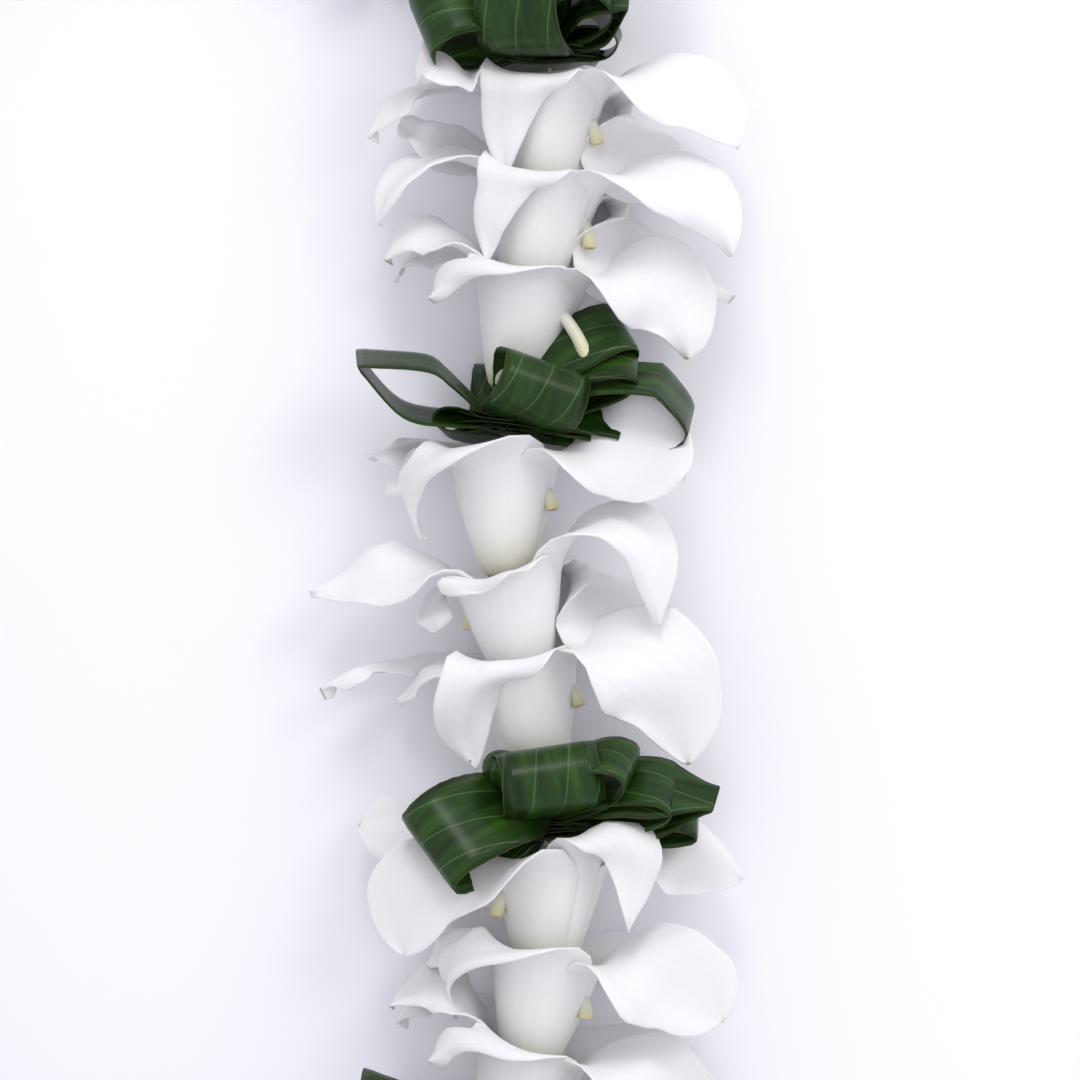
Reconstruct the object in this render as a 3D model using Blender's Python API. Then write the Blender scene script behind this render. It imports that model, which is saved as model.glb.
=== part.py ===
"""Fresh flower lei: a closed thread strung with white orchids and folded leaf rosettes.

The lei lies flat on a table as a long loop. The origin is the middle of its footprint, on the table,
with +Z up and +Y along the straight runs. Lengths below are in millimetres and angles in degrees;
MM turns a length into Blender's metres.

Each flower is one grown piece: five tepals that share a cup, pierced at its base by the thread.
Each rosette is one leaf strip, folded into loops round the thread. Both are modelled as a thin
middle surface in a local frame, whose axis is the thread, and are then given their thickness.
"""

import math

import bmesh
import bpy
import numpy as np
from mathutils import Vector

MM = 0.001

# The loop of thread: two straight runs joined by half circles, with a gentle sway in it.
END_RADIUS = 84.0
SECTION_LENGTHS = (81.0, 74.0)
SECTION_PAIRS = 6
LOOP_LENGTH = SECTION_PAIRS * sum(SECTION_LENGTHS)
RUN_LENGTH = (LOOP_LENGTH - 2 * math.pi * END_RADIUS) / 2
SWAY = 4.8
SWAY_WAVE = LOOP_LENGTH / SECTION_PAIRS
SWAY_TROUGH = 8.0
SWAY_IN_BENDS = 0.15
FIRST_ROSETTE_Y = -59.0
AXIS_HEIGHT = 14.5

THREAD_RADIUS = 0.5
NEEDLE_HOLE = 0.95
THREAD_STEPS = 120
THREAD_SIDES = 6
KNOT_RADIUS = 1.4
KNOT_TAIL = 6.0
KNOT_BELOW_RIM = 8.0

# One flower, from the needle hole in its base to the rim of its cup.
CUP_LENGTH = 25.0
CUP_BASE_RADIUS = 3.2
CUP_RIM_RADIUS = 11.4
TEPAL_THICKNESS = 0.8
TEPAL_SLOTS = (90.0, 18.0, -54.0, -126.0, -198.0)
CUP_ROWS = (0.0, 0.5, 1.0)
BLADE_ROWS = (0.3, 0.7, 1.0)

# One rosette, from the plane of its lowest fold.
HUB_RADIUS = 3.6
HUB_HEIGHT = 3.2
LEAF_THICKNESS = 0.6
LOOP_STEPS = 6
LOOP_INNER_RADIUS = 2.0
LOOP_END_SHARE = 0.22

PETAL_WHITE = (0.90, 0.89, 0.88, 1.0)
LEAF_GREEN = (0.035, 0.12, 0.03, 1.0)
THREAD_CREAM = (0.80, 0.77, 0.68, 1.0)

# A tepal's blade beyond the rim: where its tip points round the thread, its length and half width,
# the angles from the axis at which it leaves the rim and ends, its twist, and how pointed its tip is.
HOOD = dict(azimuth=104, length=23, half_width=8.5, leave=50, end=190, twist=0, point=0.8)
BROAD_PETAL = dict(azimuth=18, length=29, half_width=12.5, leave=62, end=122, twist=-60, point=0.2)
OUTER_SEPAL = dict(azimuth=-14, length=31, half_width=8.0, leave=70, end=112, twist=-20, point=0.8)
INNER_SEPAL = dict(azimuth=196, length=28, half_width=7.5, leave=72, end=122, twist=15, point=0.9)
INNER_PETAL = dict(azimuth=172, length=27, half_width=8.5, leave=66, end=145, twist=25, point=0.7)
FLOWER = (HOOD, BROAD_PETAL, OUTER_SEPAL, INNER_SEPAL, INNER_PETAL)


def flower_like(hood={}, broad={}, outer={}, inner={}, petal={}):
    """The plain flower with some values of its tepals changed."""
    return tuple({**tepal, **change} for tepal, change in zip(FLOWER, (hood, broad, outer, inner, petal)))


# The flowers of the long and the short section, from the lower rosette up. The topmost has its
# tepals pressed flat under the next rosette.
LONG_SECTION_FLOWERS = (
    flower_like(
        hood=dict(azimuth=146, length=23, leave=62, end=190),
        broad=dict(azimuth=12, length=30, half_width=14, leave=60, end=124, twist=-66),
        inner=dict(azimuth=188, length=31, half_width=5.5, leave=84, end=100),
        petal=dict(azimuth=200, length=22, leave=80, end=120),
    ),
    flower_like(
        hood=dict(azimuth=120, length=12, leave=60, end=150),
        broad=dict(azimuth=16, length=33, half_width=9.5, leave=56, end=150, twist=-34),
        petal=dict(azimuth=176, length=26, leave=72, end=100, twist=35),
    ),
    flower_like(
        hood=dict(azimuth=148, length=23, leave=92, end=188),
        broad=dict(length=27, half_width=12, leave=104, end=122, twist=-30),
        outer=dict(leave=98, end=112),
        inner=dict(length=26, leave=102, end=118),
        petal=dict(azimuth=176, length=26, leave=98, end=125),
    ),
)
SHORT_SECTION_FLOWERS = (
    flower_like(
        hood=dict(azimuth=150, length=14, leave=70, end=160),
        broad=dict(azimuth=8, length=28, half_width=13.5, leave=62, end=116, twist=-66),
        inner=dict(length=22),
        petal=dict(azimuth=184, length=22, leave=76, end=125),
    ),
    flower_like(
        broad=dict(azimuth=20, length=34, half_width=9.5, leave=56, end=142, twist=-34),
        petal=dict(azimuth=178, length=26, leave=68, end=150),
    ),
    flower_like(
        hood=dict(azimuth=100, length=23, leave=92, end=192),
        broad=dict(length=29, half_width=10, leave=102, end=116, twist=-38),
        outer=dict(leave=98, end=112),
        inner=dict(leave=98, end=118),
        petal=dict(azimuth=176, leave=96, end=128),
    ),
)

# A rosette's loops: azimuth round the thread, reach, height along the thread, strip width, and how
# far the loop's far end droops back along the thread. The last is squashed under the lei's weight.
LONG_SECTION_LOOPS = (
    dict(azimuth=146, reach=29, height=14, width=20, droop=9),
    dict(azimuth=94, reach=22, height=16, width=20, droop=0),
    dict(azimuth=46, reach=27, height=16, width=14, droop=0),
    dict(azimuth=16, reach=36, height=13, width=15, droop=2),
    dict(azimuth=184, reach=26, height=11, width=13, droop=0),
    dict(azimuth=270, reach=20, height=13, width=17, droop=0),
)
SHORT_SECTION_LOOPS = (
    dict(azimuth=180, reach=35, height=14, width=13, droop=0),
    dict(azimuth=132, reach=22, height=11, width=14, droop=0),
    dict(azimuth=92, reach=23, height=15, width=20, droop=0),
    dict(azimuth=46, reach=26, height=17, width=14, droop=0),
    dict(azimuth=10, reach=37, height=14, width=14, droop=0),
    dict(azimuth=270, reach=20, height=13, width=17, droop=0),
)

# Each section: its length, its rosette, its flowers and how far their rims lie from the rosette.
SECTIONS = (
    (SECTION_LENGTHS[0], LONG_SECTION_LOOPS, LONG_SECTION_FLOWERS, (35.5, 54.0, 76.0)),
    (SECTION_LENGTHS[1], SHORT_SECTION_LOOPS, SHORT_SECTION_FLOWERS, (32.0, 50.5, 69.5)),
)


def smooth_step(x):
    """0 below 0, 1 above 1 and a smooth rise between them."""
    x = np.clip(x, 0.0, 1.0)
    return x * x * (3.0 - 2.0 * x)


def run_and_bend(s):
    """The stadium that the thread follows at arc length s from the middle of the right-hand run.

    Returns its point, its direction and how far the sway is let out there, from 0 to 1.
    """
    half, bend = RUN_LENGTH / 2, math.pi * END_RADIUS
    s = (s + half) % LOOP_LENGTH
    side = 1.0
    if s >= RUN_LENGTH + bend:
        s, side = s - RUN_LENGTH - bend, -1.0
    if s < RUN_LENGTH:
        return side * np.array([END_RADIUS, s - half]), side * np.array([0.0, 1.0]), 1.0
    turn = (s - RUN_LENGTH) / END_RADIUS
    point = side * np.array([END_RADIUS * math.cos(turn), half + END_RADIUS * math.sin(turn)])
    sway = SWAY_IN_BENDS + (1 - SWAY_IN_BENDS) * math.cos(turn) ** 2
    return point, side * np.array([-math.sin(turn), math.cos(turn)]), sway


def thread_point(s):
    """The thread's centre at arc length s: the stadium, pushed outwards by the sway's wave."""
    point, along, sway = run_and_bend(s)
    outward = np.array([along[1], -along[0]])
    wave = -SWAY * sway * math.cos(2 * math.pi * (s - SWAY_TROUGH) / SWAY_WAVE)
    return np.array([*(point + wave * outward), AXIS_HEIGHT])


def station(s_from, s_to):
    """A local frame on the thread: its origin, and its outward, upward and along directions."""
    origin = thread_point(s_from)
    along = thread_point(s_to) - origin
    along /= np.linalg.norm(along)
    up = np.array([0.0, 0.0, 1.0])
    return origin, np.cross(along, up), up, along


def in_world(local, frame):
    """Local points (outward, up, along) in the lei's frame."""
    origin, outward, up, along = frame
    return origin + local @ np.array([outward, up, along])


def rest_on_table(points, half_thickness):
    """Eases points that would reach below the table up on to it, as soft petals and leaves bend."""
    ease = 1.2
    height = points[:, 2] - half_thickness
    lifted = 0.5 * (height + np.sqrt(height**2 + ease**2)) - 0.5 * ease * np.exp(-((height / 6) ** 2))
    points[:, 2] = half_thickness + np.maximum(lifted, 0.0)
    return points


def cup_radius(share):
    """The cup's radius at a share of its length: narrow at the needle hole, then trumpet-shaped."""
    return CUP_BASE_RADIUS + (CUP_RIM_RADIUS - CUP_BASE_RADIUS) * share**0.9


def around(azimuth, radius, along):
    """Points at an azimuth and a radius round the axis, in the local frame."""
    turn = np.radians(azimuth)
    return np.stack([radius * np.cos(turn), radius * np.sin(turn), along + 0 * turn], axis=-1)


def tepal_blade(tepal, slot, shares, across):
    """The blade as points[share, across]: a midrib that bends outwards, with a rib of arc across it.

    The midrib's angle from the axis grows smoothly from leave to end, and its azimuth turns from
    the tepal's slot in the cup to its own. Each cross rib is an arc, as tight as the cup at the rim.
    """
    steps = np.linspace(0.0, 1.0, 61)
    angle = np.radians(tepal["leave"] + (tepal["end"] - tepal["leave"]) * smooth_step(steps))
    ds = tepal["length"] / (len(steps) - 1)
    radius = CUP_RIM_RADIUS + ds * np.concatenate([[0], np.cumsum(np.sin(angle))[:-1]])
    along = CUP_LENGTH + ds * np.concatenate([[0], np.cumsum(np.cos(angle))[:-1]])
    azimuth = slot + ((tepal["azimuth"] - slot + 180) % 360 - 180) * smooth_step(steps * 1.6)
    rim_half = CUP_RIM_RADIUS * math.radians(36)
    full = 2 + 3 * (1 - tepal["point"])
    taper = (1 - steps**full) ** (0.5 + 0.5 * tepal["point"])
    half = (rim_half + (tepal["half_width"] - rim_half) * smooth_step(steps / 0.45)) * taper
    bend = 1 / CUP_RIM_RADIUS + (0.02 - 1 / CUP_RIM_RADIUS) * smooth_step(steps / 0.5)
    rows = []
    twist = np.radians(tepal["twist"]) * smooth_step(steps / 0.6)
    for share in shares:
        a, r, w, t, h, k, q = (
            np.interp(share, steps, x) for x in (angle, radius, along, azimuth, half, bend, twist)
        )
        turn = math.radians(t)
        out = np.array([math.cos(turn), math.sin(turn), 0.0])
        side = np.array([-math.sin(turn), math.cos(turn), 0.0])
        inward = -math.cos(a) * out + math.sin(a) * np.array([0.0, 0.0, 1.0])
        side, inward = math.cos(q) * side + math.sin(q) * inward, math.cos(q) * inward - math.sin(q) * side
        lateral = np.asarray(across) * h * k
        ribs = r * out + np.array([0, 0, w]) + np.outer(np.sin(lateral) / k, side)
        rows.append(ribs + np.outer((1 - np.cos(lateral)) / k, inward))
    return np.array(rows)


def flower_surface(tepals):
    """The flower's middle surface: rings from the needle hole to the rim, then five free blades."""
    azimuths = np.array([slot + 36 - 36 * i for slot in TEPAL_SLOTS for i in (0, 1)])
    rings = [around(azimuths, NEEDLE_HOLE, 0.0)]
    rings += [around(azimuths, cup_radius(np.full(10, row)), row * CUP_LENGTH) for row in CUP_ROWS]
    points = list(np.concatenate(rings))
    faces = []
    for ring in range(len(rings) - 1):
        for i in range(10):
            a, b = ring * 10 + i, ring * 10 + (i + 1) % 10
            faces.append((a, b, b + 10, a + 10))
    rim = (len(rings) - 1) * 10
    for n, (tepal, slot) in enumerate(zip(tepals, TEPAL_SLOTS)):
        row = [rim + 2 * n, rim + 2 * n + 1, rim + (2 * n + 2) % 10]
        blade = tepal_blade(tepal, slot, BLADE_ROWS, (1.0, 0.0, -1.0))
        for share, ribs in zip(BLADE_ROWS, blade):
            if share < 1.0:
                new = [len(points) + i for i in range(3)]
                points.extend(ribs)
                faces += [(row[i], row[i + 1], new[i + 1], new[i]) for i in (0, 1)]
                row = new
            else:
                points.append(ribs[1])
                faces += [(row[i], row[i + 1], len(points) - 1) for i in (0, 1)]
    return np.array(points), faces


def leaf_loop(loop):
    """One loop's middle surface: a drop-shaped band that leaves the hub low and comes back higher."""
    share = np.linspace(0.0, 1.0, LOOP_STEPS + 1)
    swell = np.sin(np.pi * share)
    radius = LOOP_INNER_RADIUS + (loop["reach"] - LOOP_INNER_RADIUS) * swell**0.7
    rise = 1.6 * loop["height"] * swell**1.5 * 0.5 * (1 - np.cos(np.pi * share))
    along = 0.8 + 1.6 * share + rise - loop["droop"] * (radius / loop["reach"]) ** 5
    half = 0.5 * loop["width"] * (LOOP_END_SHARE + (1 - LOOP_END_SHARE) * swell**0.7)
    turn = math.radians(loop["azimuth"])
    side = np.array([-math.sin(turn), math.cos(turn), 0.0])
    middle = around(np.full(len(share), loop["azimuth"]), radius, along)
    points = np.concatenate([middle + half[:, None] * side, middle - half[:, None] * side])
    n = len(share)
    return points, [(i, i + 1, n + i + 1, n + i) for i in range(n - 1)]


def material(name, colour, roughness):
    """A plain Principled material."""
    made = bpy.data.materials.new(name)
    made.use_nodes = True
    shader = made.node_tree.nodes["Principled BSDF"]
    shader.inputs["Base Color"].default_value = colour
    shader.inputs["Roughness"].default_value = roughness
    shader.inputs["Metallic"].default_value = 0.0
    return made


def mesh_object(name, points, faces, finish):
    """A smooth-shaded object from points in millimetres."""
    mesh = bpy.data.meshes.new(name)
    mesh.from_pydata([Vector(p) * MM for p in points], [], faces)
    mesh.materials.append(finish)
    mesh.shade_smooth()
    made = bpy.data.objects.new(name, mesh)
    bpy.context.scene.collection.objects.link(made)
    return made


def thicken(thing, thickness):
    """Gives a middle surface its thickness, half to each side."""
    solid = thing.modifiers.new("thickness", "SOLIDIFY")
    solid.thickness = thickness * MM
    solid.offset = 0.0
    return thing


def helper(thing):
    """Keeps a joining shape out of the finished lei."""
    thing.hide_render = True
    thing.display_type = "WIRE"
    return thing


def joined(whole, piece):
    """Fuses a helper shape into a piece."""
    join = whole.modifiers.new(piece.name, "BOOLEAN")
    join.operation = "UNION"
    join.object = helper(piece)


def make_flower(name, tepals, base_s, finish):
    """A flower whose needle hole is on the thread at base_s."""
    points, faces = flower_surface(tepals)
    world = in_world(points, station(base_s, base_s + CUP_LENGTH))
    world = rest_on_table(world, TEPAL_THICKNESS / 2)
    return thicken(mesh_object(name, world, faces, finish), TEPAL_THICKNESS)


def hub_ring():
    """The stack of pierced folds at a rosette's centre, as a ring round the thread."""
    sides = 8
    azimuths = np.arange(sides) * 360.0 / sides
    rings = [
        around(azimuths, NEEDLE_HOLE, 0.0),
        around(azimuths, HUB_RADIUS, 0.0),
        around(azimuths, HUB_RADIUS, HUB_HEIGHT),
        around(azimuths, NEEDLE_HOLE, HUB_HEIGHT),
    ]
    faces = []
    for ring in range(4):
        a, b = ring * sides, (ring + 1) % 4 * sides
        faces += [(a + i, b + i, b + (i + 1) % sides, a + (i + 1) % sides) for i in range(sides)]
    return np.concatenate(rings), faces


def outward_normals(thing):
    """Turns a closed mesh's faces to point out."""
    mesh = bmesh.new()
    mesh.from_mesh(thing.data)
    bmesh.ops.recalc_face_normals(mesh, faces=mesh.faces)
    mesh.to_mesh(thing.data)
    mesh.free()
    return thing


def make_rosette(name, loops, s, finish):
    """A rosette: its hub, joined to each loop of the strip."""
    frame = station(s, s + HUB_HEIGHT)
    points, faces = hub_ring()
    rosette = outward_normals(mesh_object(name, in_world(points, frame), faces, finish))
    for number, loop in enumerate(loops):
        points, faces = leaf_loop(loop)
        world = rest_on_table(in_world(points, frame), LEAF_THICKNESS / 2)
        band = mesh_object(f"{name}_loop_{number}", world, faces, finish)
        joined(rosette, thicken(band, LEAF_THICKNESS))


def clear_scene():
    for thing in list(bpy.data.objects):
        bpy.data.objects.remove(thing, do_unlink=True)


def tube(name, centres, radius, sides, closed, finish):
    """A tube of flat-ended or closed run round its centre points, which lie nearly level."""
    centres = np.asarray(centres)
    ahead = np.roll(centres, -1, axis=0) - np.roll(centres, 1, axis=0)
    if not closed:
        ahead[0], ahead[-1] = centres[1] - centres[0], centres[-1] - centres[-2]
    ahead /= np.linalg.norm(ahead, axis=1)[:, None]
    across = np.cross(ahead, [0.0, 0.0, 1.0])
    across /= np.linalg.norm(across, axis=1)[:, None]
    above = np.cross(across, ahead)
    turns = np.arange(sides) * 2 * math.pi / sides
    ring = np.cos(turns)[:, None, None] * across + np.sin(turns)[:, None, None] * above
    points = (centres + radius * ring).transpose(1, 0, 2).reshape(-1, 3)
    rings = len(centres)
    faces = []
    for i in range(rings if closed else rings - 1):
        here, there = i * sides, (i + 1) % rings * sides
        for j in range(sides):
            k = (j + 1) % sides
            faces.append((here + j, here + k, there + k, there + j))
    if not closed:
        faces += [tuple(range(sides)), tuple(range((rings - 1) * sides, rings * sides))]
    return outward_normals(mesh_object(name, points, faces, finish))


def make_thread(knot_s, finish):
    """The whole thread: its closed run, and the knot and cut tails where its ends are tied."""
    stations = knot_s + (np.arange(THREAD_STEPS) + 0.5) * LOOP_LENGTH / THREAD_STEPS
    run = [thread_point(s) for s in stations]
    thread = tube("thread", run, THREAD_RADIUS, THREAD_SIDES, True, finish)
    origin, outward, up, along = station(knot_s, knot_s + KNOT_TAIL)
    bpy.ops.mesh.primitive_ico_sphere_add(
        subdivisions=2, radius=KNOT_RADIUS * MM, location=Vector(origin) * MM, rotation=(0.3, 0.2, 0.1)
    )
    knot = bpy.context.object
    knot.name = "knot"
    joined(thread, knot)
    for name, side in (("tail_upper", up), ("tail_inner", -outward)):
        lean = 0.8 * along + 0.6 * side
        tail = tube(name, [origin, origin + KNOT_TAIL * lean], THREAD_RADIUS * 0.9, THREAD_SIDES, False, finish)
        joined(thread, tail)


def make_lei():
    """Strings the sections round the loop, and ties the thread inside the last flower."""
    petal = material("orchid_petal", PETAL_WHITE, 0.55)
    leaf = material("folded_leaf", LEAF_GREEN, 0.38)
    cotton = material("cotton_thread", THREAD_CREAM, 0.8)
    s, flower_number, rosette_number = FIRST_ROSETTE_Y, 0, 0
    for _ in range(SECTION_PAIRS):
        for length, loops, flowers, rims in SECTIONS:
            rosette_number += 1
            make_rosette(f"leaf_rosette_{rosette_number:02d}", loops, s, leaf)
            for tepals, rim in zip(flowers, rims):
                flower_number += 1
                make_flower(f"flower_{flower_number:02d}", tepals, s + rim - CUP_LENGTH, petal)
            s += length
    make_thread(s - SECTIONS[-1][0] + SECTIONS[-1][3][-1] - KNOT_BELOW_RIM, cotton)


clear_scene()
make_lei()
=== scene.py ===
"""The looks of a fresh flower lei: white orchids and folded leaf rosettes on a closed thread.

Lengths are in millimetres until MM turns them into Blender's metres, and angles are in degrees. The
studio at the end is in metres. Each flower and rosette is made in a local frame on the thread, with
axes outward, up and along, which is the frame that its solid has, and is then placed as a whole.
"""

import math

import bpy
import numpy as np
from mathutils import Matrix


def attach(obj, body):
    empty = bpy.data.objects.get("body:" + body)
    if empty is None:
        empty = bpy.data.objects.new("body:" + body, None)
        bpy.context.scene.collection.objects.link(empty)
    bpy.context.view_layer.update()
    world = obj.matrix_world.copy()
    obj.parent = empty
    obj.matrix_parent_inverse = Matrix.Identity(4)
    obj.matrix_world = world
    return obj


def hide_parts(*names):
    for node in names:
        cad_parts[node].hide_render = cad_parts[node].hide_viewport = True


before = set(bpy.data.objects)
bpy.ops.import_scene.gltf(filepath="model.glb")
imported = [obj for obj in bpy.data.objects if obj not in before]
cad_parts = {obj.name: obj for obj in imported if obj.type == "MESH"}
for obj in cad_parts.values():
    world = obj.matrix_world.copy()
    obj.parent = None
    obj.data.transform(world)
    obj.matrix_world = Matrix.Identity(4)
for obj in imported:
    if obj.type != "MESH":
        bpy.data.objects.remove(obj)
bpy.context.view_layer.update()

MM = 0.001
GRAIN = "grain"

# The loop of thread, as the solids have it: two straight runs joined by half circles, with a sway.
END_RADIUS = 84.0
SECTION_LENGTHS = (81.0, 74.0)
SECTION_PAIRS = 6
LOOP_LENGTH = SECTION_PAIRS * sum(SECTION_LENGTHS)
RUN_LENGTH = (LOOP_LENGTH - 2 * math.pi * END_RADIUS) / 2
SWAY = 4.8
SWAY_WAVE = LOOP_LENGTH / SECTION_PAIRS
SWAY_TROUGH = 8.0
SWAY_IN_BENDS = 0.15
FIRST_ROSETTE_Y = -59.0
AXIS_HEIGHT = 14.5

# One flower's cup, which nests in the mouth of the flower below. Its lip flares on to FLOWER_LENGTH.
# CUP_FULLNESS is the power of its profile, CUP_FLARE its angle at the rim, and its tepals lie apart
# in full from the share 1 / CUP_OPENING of its length.
FLOWER_LENGTH = 25.0
CUP_LENGTH = 22.0
CUP_BASE_RADIUS = 3.2
CUP_RIM_RADIUS = 10.6
CUP_FULLNESS = 0.66
CUP_FLARE = 20.0
CUP_OPENING = 3.0

# The tepals: their azimuths in the cup, half the angle that each wraps, how far the hood lies outside
# the cup and the others inside, how far every edge sinks there, their thicknesses in the middle and
# at the edges, and the share of it that they lose towards the tip.
TEPAL_SLOTS = (90.0, 18.0, -54.0, -126.0, -198.0)
HOOD_HALF_ANGLE = 78.0
TEPAL_HALF_ANGLE = 44.0
HOOD_LIFT = 0.16
EDGE_SINK = 0.15
PETAL_THICKNESS = 0.75
EDGE_THICKNESS = 0.22
TIP_THINNING = 0.65

# The share of its blade by which a tepal has passed from the cup's form to its own, in each way, after
# the share at which it starts to bend.
BEND_START = 0.04
FLARED = 0.15
TILTED = 0.3
SWOLLEN = 0.4
RELAXED = 0.45
TWISTED = 0.6
TURNED = 0.8

# What makes each tepal uneven: the depth of its soft hollows, the share by which its outline wavers,
# the sliver of width left at its tip, and the least curvature of its ribs.
SOFTNESS = 0.8
UNEVENNESS = 0.045
SLIVER = 0.0003
NEARLY_FLAT = 1e-5

# The rows of a tepal's points in the cup and in the blade, where they crowd towards the tip, the
# steps that work out its midrib, and its columns.
CUP_ROWS = 12
BLADE_ROWS = 24
BLADE_CROWDING = 1.5
MIDRIB_STEPS = 160
TEPAL_COLUMNS = 17

# The stub of a stalk leaves the cup at a share of its length, from inside it, bends outwards and
# swings a few degrees to one side. Every open tube ends in rings of radius TUBE_POINT.
STALK_RADIUS = 1.4
STALK_JOIN = 0.8
STALK_SINK = 0.6
STALK_BEND = 0.14
STALK_SWING = 6.0
STALK_RINGS = 9
STALK_SIDES = 12
TUBE_POINT = 0.01
TUBE_REFERENCE = (0.31, 0.17, 0.93)

# The thread, whose outline of two plies looks the same again every PLY_TURN.
THREAD_RADIUS = 0.5
PLY_TURN = 3.0
PLY_WAIST = 0.66
PLY_RINGS = 10
PLY_SIDES = 8
KNOT_RADIUS = 1.3
KNOT_RINGS = 60
KNOT_TAIL = 6.0
KNOT_BELOW_RIM = 8.0

# The leaf strip. In a loop it has the share LOOP_NECK of its width at the thread and grows on its way
# out. A pointed one narrows again from LOOP_POINT_START. PATTERN_SHIFT moves the leaf's pattern on
# from one loop to the next.
LEAF_THICKNESS = 0.45
ROSETTE_HEIGHT = 3.2
LOOP_LEVEL = 1.2
LOOP_NECK = 0.3
LOOP_GROWTH = 1.35
LOOP_POINT_START = 0.78
BAND_ROWS = 44
BAND_COLUMNS = 9
PATTERN_SHIFT = 40.0

# The stack of flat folds that the thread pierces: half their length and width, how far their ends
# curl and their sides tilt, and how each is turned on from the one below.
FOLD_COUNT = 6
FOLD_LEVEL = -0.9
FOLD_PITCH = 0.7
FOLD_LENGTH = 10.0
FOLD_WIDTH = 6.5
FOLD_CURL = 1.6
FOLD_TILT = 0.4
FOLD_FIRST_TURN = -18.0
FOLD_TURN_STEP = 8.0
FOLD_TURN_SPREAD = 6.0
FOLD_ROWS = 15

# How far from the table soft petals and leaves begin to ease up on to it.
TABLE_EASE = 1.2
EASE_REACH = 6.0


def smooth_step(x):
    """0 below 0, 1 above 1 and a smooth rise between them."""
    x = np.clip(x, 0.0, 1.0)
    return x * x * (3.0 - 2.0 * x)


# --- The thread's run ---------------------------------------------------------------------------


def run_and_bend(s):
    """The stadium that the thread follows at arc length s from the middle of the right-hand run.

    Returns its point, its direction and how far the sway is let out there, from 0 to 1.
    """
    half, bend = RUN_LENGTH / 2, math.pi * END_RADIUS
    s = (s + half) % LOOP_LENGTH
    side = 1.0
    if s >= RUN_LENGTH + bend:
        s, side = s - RUN_LENGTH - bend, -1.0
    if s < RUN_LENGTH:
        return side * np.array([END_RADIUS, s - half]), side * np.array([0.0, 1.0]), 1.0
    turn = (s - RUN_LENGTH) / END_RADIUS
    point = side * np.array([END_RADIUS * math.cos(turn), half + END_RADIUS * math.sin(turn)])
    sway = SWAY_IN_BENDS + (1 - SWAY_IN_BENDS) * math.cos(turn) ** 2
    return point, side * np.array([-math.sin(turn), math.cos(turn)]), sway


def thread_point(s):
    """The thread's centre at arc length s: the stadium, pushed outwards by the sway's wave."""
    point, along, sway = run_and_bend(s)
    outward = np.array([along[1], -along[0]])
    wave = -SWAY * sway * math.cos(2 * math.pi * (s - SWAY_TROUGH) / SWAY_WAVE)
    return np.array([*(point + wave * outward), AXIS_HEIGHT])


def station(s_from, s_to):
    """A local frame on the thread: its origin, and its outward, upward and along directions."""
    origin = thread_point(s_from)
    along = thread_point(s_to) - origin
    along /= np.linalg.norm(along)
    up = np.array([0.0, 0.0, 1.0])
    return origin, np.cross(along, up), up, along


def in_world(local, place):
    """Local points (outward, up, along) in the lei's frame."""
    origin, outward, up, along = place
    return origin + local @ np.array([outward, up, along])


def rest_on_table(points, lowest):
    """Eases points that would reach below the table up on to it, as soft petals and leaves bend.

    A height h over lowest becomes half of h + sqrt(h^2 + e^2) - e exp(-(h / r)^2), where e is
    TABLE_EASE and r is EASE_REACH. That is 0 at the table, and nearly h from r upwards.
    """
    height = points[..., 2] - lowest
    lifted = 0.5 * (height + np.sqrt(height**2 + TABLE_EASE**2))
    lifted = lifted - 0.5 * TABLE_EASE * np.exp(-((height / EASE_REACH) ** 2))
    points[..., 2] = lowest + np.maximum(lifted, 0.0)
    return points


# --- Thin sheets --------------------------------------------------------------------------------


def sheet_normals(grid):
    """The unit normal at each point of a grid of points, from the differences along and across."""
    down = np.gradient(grid, axis=0)
    over = np.gradient(grid, axis=1)
    normal = np.cross(over, down)
    return normal / np.maximum(np.linalg.norm(normal, axis=-1, keepdims=True), 1e-9)


def thin_solid(grid, thickness, marks):
    """A closed solid round a grid of points, drawn together at its edges like a lens.

    Two skins lie half the thickness to each side of the grid and share its border points. Returns
    points, quads and one mark vector for each point.
    """
    rows, columns = grid.shape[:2]
    normal = sheet_normals(grid)
    half = 0.5 * thickness[..., None] * normal
    border = np.ones((rows, columns), bool)
    border[1:-1, 1:-1] = False
    front = np.where(border[..., None], grid, grid + half).reshape(-1, 3)
    back = (grid - half)[1:-1, 1:-1].reshape(-1, 3)
    front_index = np.arange(rows * columns).reshape(rows, columns)
    back_index = front_index.copy()
    back_index[1:-1, 1:-1] = front_index.size + np.arange(len(back)).reshape(rows - 2, columns - 2)

    def quads(index):
        a, b, c, d = index[:-1, :-1], index[1:, :-1], index[1:, 1:], index[:-1, 1:]
        return np.stack([a, d, c, b], axis=-1).reshape(-1, 4)

    faces = np.concatenate([quads(front_index), quads(back_index)[:, ::-1]])
    front_marks = marks.reshape(-1, marks.shape[-1])
    back_marks = marks[1:-1, 1:-1].reshape(-1, marks.shape[-1])
    return np.concatenate([front, back]), faces, np.concatenate([front_marks, back_marks])


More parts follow.
